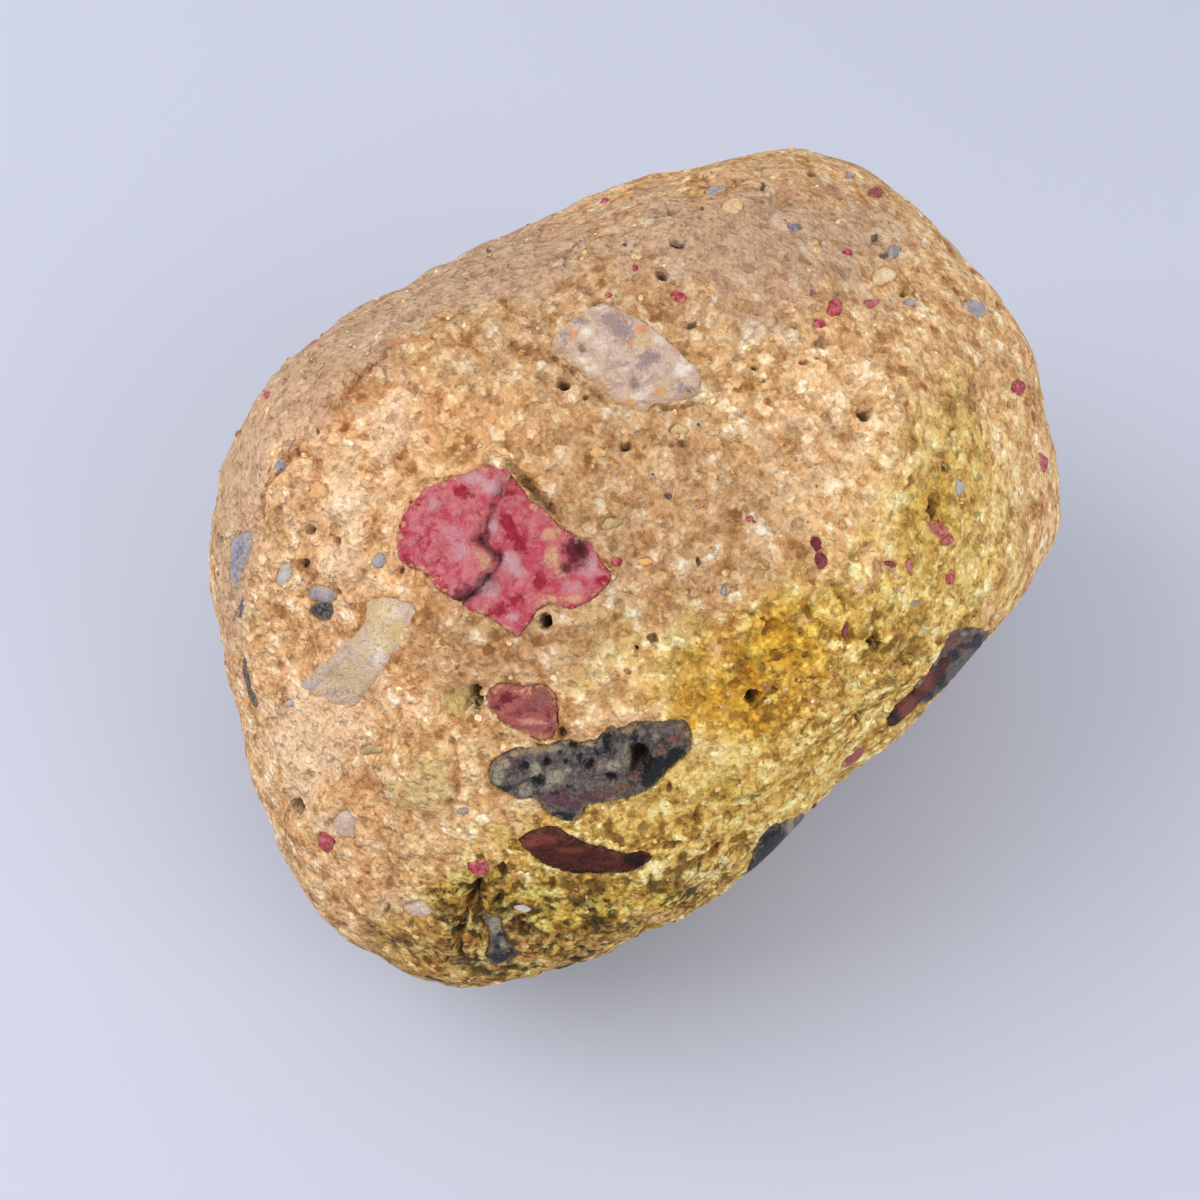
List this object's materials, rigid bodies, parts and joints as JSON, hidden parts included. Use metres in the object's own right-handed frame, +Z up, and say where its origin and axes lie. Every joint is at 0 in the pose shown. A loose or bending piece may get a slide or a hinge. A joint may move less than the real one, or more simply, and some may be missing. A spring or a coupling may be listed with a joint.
{
  "type": "puddingstone cobble",
  "caption": "Rounded, blocky cobble of pebbly sandstone conglomerate, with coloured pebbles set in a sandy matrix, resting on a small flat spot.",
  "frame": {"origin": "middle of the small flat spot that the stone rests on", "axes": "+Z up, out of the resting surface; +X along the stone's longest way"},
  "size_m": [0.0944, 0.0692, 0.0678],
  "materials": {
    "puddingstone": "matte, sandy"
  },
  "bodies": {
    "root": {"puddingstone": "puddingstone"}
  },
  "joints": []
}
